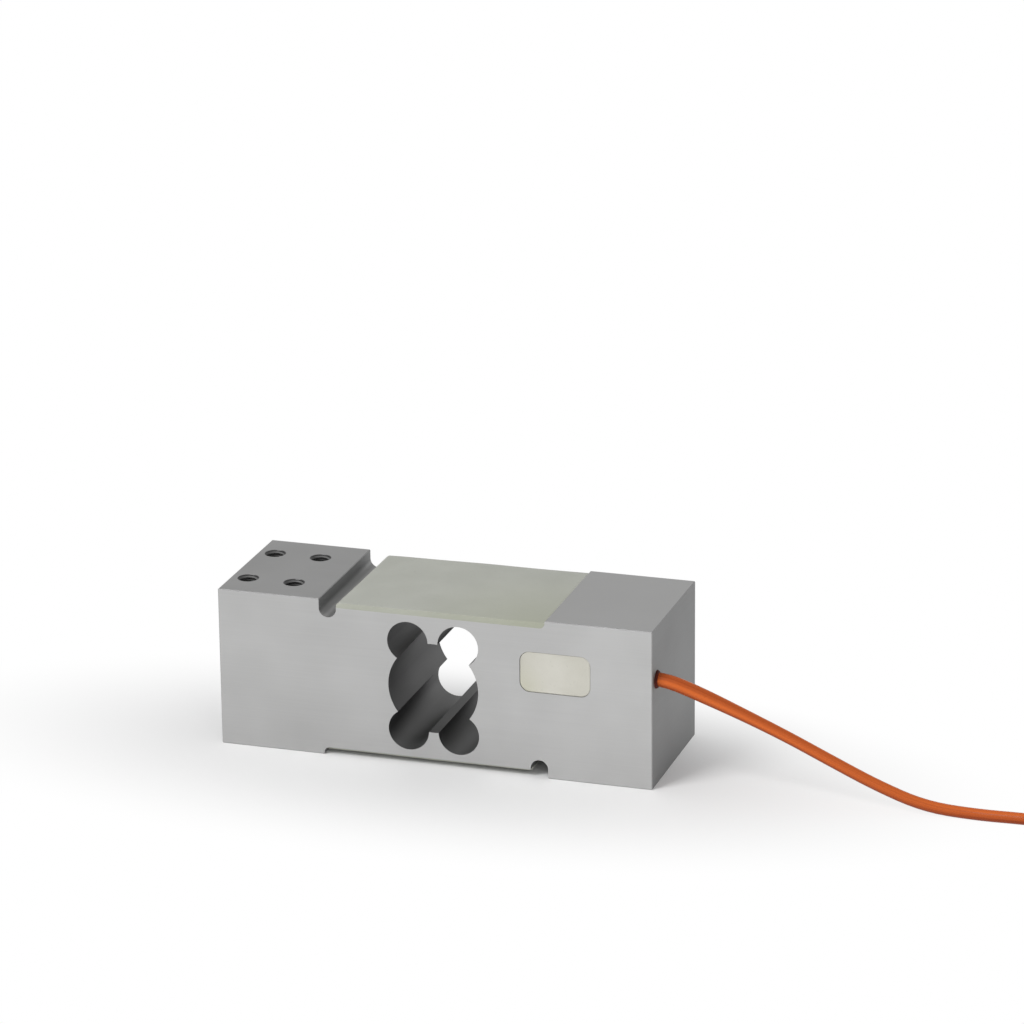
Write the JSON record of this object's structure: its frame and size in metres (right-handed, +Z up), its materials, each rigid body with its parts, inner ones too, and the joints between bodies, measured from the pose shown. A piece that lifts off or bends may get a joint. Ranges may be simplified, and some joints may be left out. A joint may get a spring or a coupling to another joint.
{
  "type": "single point load cell",
  "caption": "Aluminium bending-beam weighing sensor with a clover-shaped bore, potted strain gauges, tapped pads and a cable.",
  "frame": {"origin": "middle of the block's underside, on the surface that it rests on", "axes": "+X along the block from the loading pad to the cable end, -Y out of the front face that has the wiring pocket, +Z up"},
  "size_m": [0.3854, 0.0669, 0.064],
  "materials": {
    "machined_aluminium": "machined, satin",
    "cover_compound": "cast compound, low sheen",
    "pocket_compound": "cast compound, matt",
    "gauge_foil": "amber film with foil grid",
    "terminal_film": "copper-clad film",
    "bare_copper": "drawn wire",
    "wire_enamel": "insulated wire",
    "board_laminate": "glass laminate, solder mask",
    "resistor_ceramic": "chip with tinned ends",
    "solder": "bright solder",
    "core_red": "core insulation",
    "core_black": "core insulation",
    "core_green": "core insulation",
    "core_white": "core insulation",
    "tinned_copper": "tinned copper",
    "seal_compound": "sealing compound",
    "cable_jacket": "smooth extruded jacket",
    "tie_nylon": "moulded nylon",
    "shrink_sleeve": "shrunk tubing"
  },
  "bodies": {
    "root": {"spring_body": "machined_aluminium", "top_potting": "cover_compound", "bottom_potting": "cover_compound", "side_potting": "pocket_compound", "gauge_top_left": "gauge_foil", "gauge_top_right": "gauge_foil", "gauge_bottom_left": "gauge_foil", "gauge_bottom_right": "gauge_foil", "top_terminal_strip": "terminal_film", "bottom_terminal_strip": "terminal_film", "top_gauge_wires": "bare_copper", "bottom_gauge_wires": "bare_copper", "top_bridge_wires": "wire_enamel", "bottom_bridge_wires": "wire_enamel", "trim_board": "board_laminate", "zero_trim_resistor": "resistor_ceramic", "span_trim_resistor": "resistor_ceramic", "zero_temperature_resistor": "resistor_ceramic", "span_temperature_resistor": "resistor_ceramic", "board_solder": "solder", "core_red": "core_red", "core_black": "core_black", "core_green": "core_green", "core_white": "core_white", "shield_braid": "tinned_copper", "cable_seal": "seal_compound", "cable": "cable_jacket", "cable_coil": "cable_jacket", "coil_tie_rear": "tie_nylon", "coil_tie_front": "tie_nylon", "end_sleeve": "shrink_sleeve", "lead_red": "core_red", "lead_black": "core_black", "lead_green": "core_green", "lead_white": "core_white", "lead_tips": "tinned_copper", "drain_wire": "tinned_copper"}
  },
  "joints": []
}
